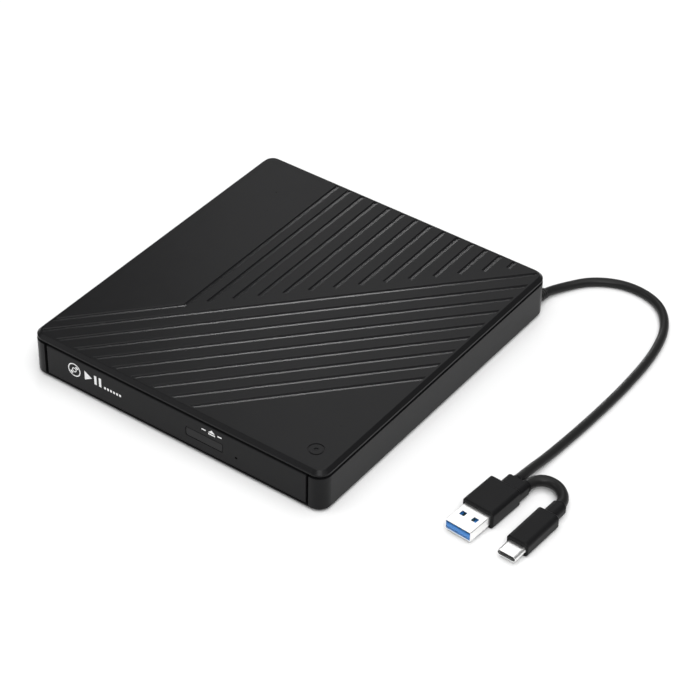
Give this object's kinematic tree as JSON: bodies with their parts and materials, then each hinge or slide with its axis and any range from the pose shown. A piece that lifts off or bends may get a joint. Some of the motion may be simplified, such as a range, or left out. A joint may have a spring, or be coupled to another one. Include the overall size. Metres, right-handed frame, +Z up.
{
  "type": "external optical drive",
  "caption": "Slim external optical disc drive: flat black case with grooved lid, sliding disc tray with turntable and laser sled, and a short fixed cable ending in USB-A and USB-C plugs.",
  "frame": {"origin": "centre of the case's footprint, on the plane that its rubber feet stand on", "axes": "+X to the right of a user who faces the tray, +Y towards the back where the cable leaves, +Z up"},
  "size_m": [0.2204, 0.1935, 0.0202],
  "materials": {
    "case_plastic": "satin black, fine texture",
    "button_plastic": "satin black",
    "foot_rubber": "matt black",
    "screw_steel": "blackened steel",
    "foam": "matt dark foam",
    "sheet_steel": "zinc-plated sheet",
    "rail_steel": "drawn steel",
    "connector_plastic": "matt black",
    "flex_film": "pale film",
    "circuit_board": "green solder resist",
    "chip_black": "matt black",
    "tray_plastic": "satin black",
    "deck_black": "matt black",
    "deck_cast": "die cast",
    "damper_rubber": "matt",
    "bright_steel": "bright",
    "hub_plastic": "satin dark grey",
    "lens_frame": "matt",
    "lens_glass": "clear",
    "cord_jacket": "satin black",
    "plug_plastic": "satin black",
    "plug_shell": "nickel plated",
    "tongue_blue": "blue",
    "gold": "gold plated",
    "core_black": "matt black"
  },
  "bodies": {
    "case": {"bottom_case": "case_plastic", "top_cover": "case_plastic", "case_feet": "foot_rubber", "case_screws": "screw_steel", "foam_pads": "foam", "drive_pan": "sheet_steel", "drive_cover": "sheet_steel", "drive_screws": "screw_steel", "outer_rail_right": "rail_steel", "outer_rail_left": "rail_steel", "drive_connector": "connector_plastic", "fixed_flex": "flex_film", "bridge_board": "circuit_board", "bridge_chips": "chip_black", "board_socket": "connector_plastic", "board_screws": "screw_steel", "cable_gland": "cord_jacket", "main_cord": "cord_jacket", "jumper_cord": "cord_jacket", "usb_a_grip": "plug_plastic", "usb_a_shell": "plug_shell", "usb_a_tongue": "tongue_blue", "usb_a_contacts": "gold", "usb_c_grip": "plug_plastic", "usb_c_shell": "plug_shell", "usb_c_core": "core_black"},
    "rail_right": {"inner_rail_right": "rail_steel"},
    "rail_left": {"inner_rail_left": "rail_steel"},
    "tray": {"disc_tray": "tray_plastic", "tray_bezel": "case_plastic", "eject_switch": "connector_plastic", "tray_shield": "sheet_steel", "tray_screws": "screw_steel", "tray_board": "circuit_board", "tray_chips": "chip_black", "moving_flex": "flex_film", "deck_frame": "deck_cast", "deck_dampers": "damper_rubber", "deck_plate": "deck_black", "guide_rods": "bright_steel", "spindle_motor": "bright_steel", "stepper_motor": "bright_steel"},
    "button": {"eject_button": "button_plastic"},
    "turntable": {"spindle_hub": "hub_plastic", "hub_pad": "damper_rubber", "hub_pawls": "hub_plastic"},
    "sled": {"pickup_sled": "deck_cast", "lens_holder": "lens_frame", "objective_lens": "lens_glass"},
    "screw": {"lead_screw": "bright_steel"}
  },
  "joints": [
    {"name": "tray_slide", "type": "slide", "parent": "case", "child": "tray", "axis": [0, -1, 0], "range_m": [0, 0.127]},
    {"name": "rail_right_slide", "type": "slide", "parent": "case", "child": "rail_right", "axis": [0, -1, 0], "range_m": [0, 0.0635]},
    {"name": "rail_left_slide", "type": "slide", "parent": "case", "child": "rail_left", "axis": [0, -1, 0], "range_m": [0, 0.0635]},
    {"name": "button_press", "type": "slide", "parent": "tray", "child": "button", "axis": [0, 1, 0], "range_m": [0, 0.0005], "stiffness_N_per_m": 600},
    {"name": "turntable_spin", "type": "hinge", "parent": "tray", "child": "turntable", "pos_m": [0, -0.013, 0.008], "axis": [0, 0, 1], "continuous": true},
    {"name": "sled_slide", "type": "slide", "parent": "tray", "child": "sled", "axis": [0, -1, 0], "range_m": [0, 0.032]},
    {"name": "screw_spin", "type": "hinge", "parent": "tray", "child": "screw", "pos_m": [-0.0205, -0.05, 0.0076], "axis": [0, 1, 0], "range_deg": [-10, 3900]}
  ],
  "couplings": [
    {"joint": "rail_right_slide", "follows": "tray_slide", "ratio": 0.5},
    {"joint": "rail_left_slide", "follows": "tray_slide", "ratio": 0.5},
    {"joint": "screw_spin", "follows": "sled_slide", "rad_per_m": 2094.4}
  ]
}
